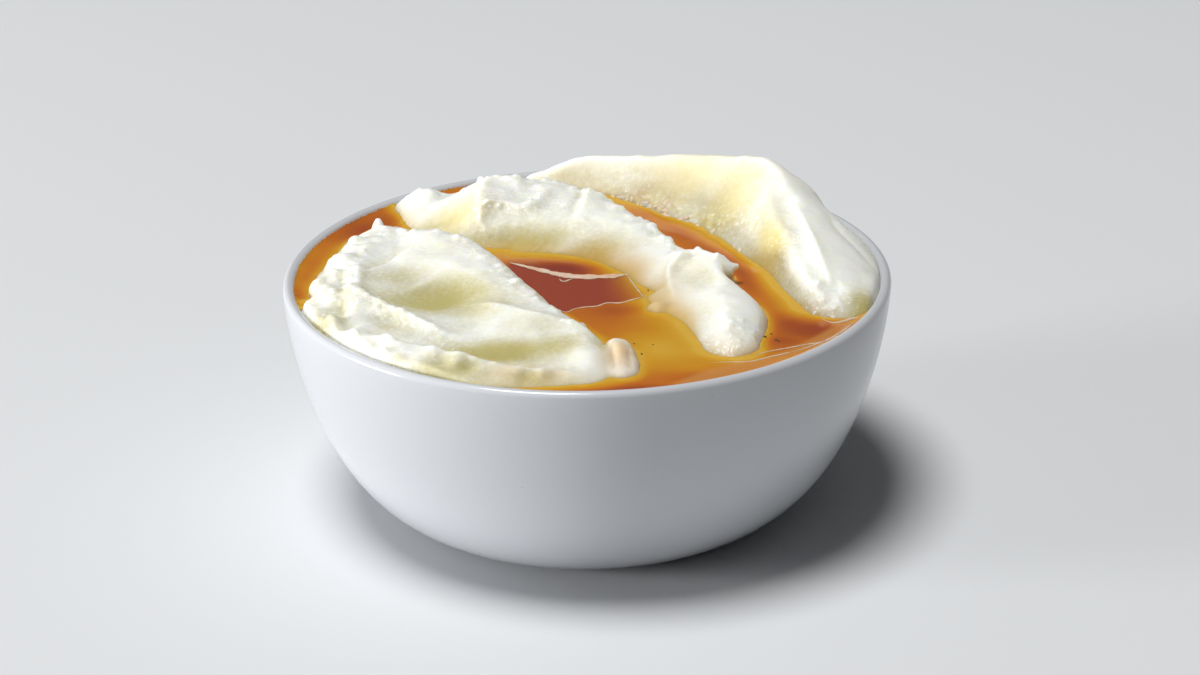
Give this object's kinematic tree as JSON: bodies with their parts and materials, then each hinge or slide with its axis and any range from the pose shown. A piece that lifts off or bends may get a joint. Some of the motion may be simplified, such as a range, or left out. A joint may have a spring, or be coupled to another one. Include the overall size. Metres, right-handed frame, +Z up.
{
  "type": "mashed potato side",
  "caption": "Round white porcelain bowl filled to the brim with spooned mashed potato, with gravy lying in the valleys between its mounds.",
  "frame": {"origin": "middle of the bowl's flat underside", "axes": "+Z up, +Y to the back, +X to the side of the highest mound"},
  "size_m": [0.12, 0.12, 0.0594],
  "materials": {
    "porcelain": "white glazed porcelain, glossy",
    "mash": "creamy mashed potato, moist, with a fine wet sheen",
    "gravy": "clear brown gravy, wet and glossy, golden where it is thin"
  },
  "bodies": {
    "root": {"bowl": "porcelain", "mashed_potato": "mash", "gravy_main": "gravy", "gravy_left_pool": "gravy"}
  },
  "joints": []
}
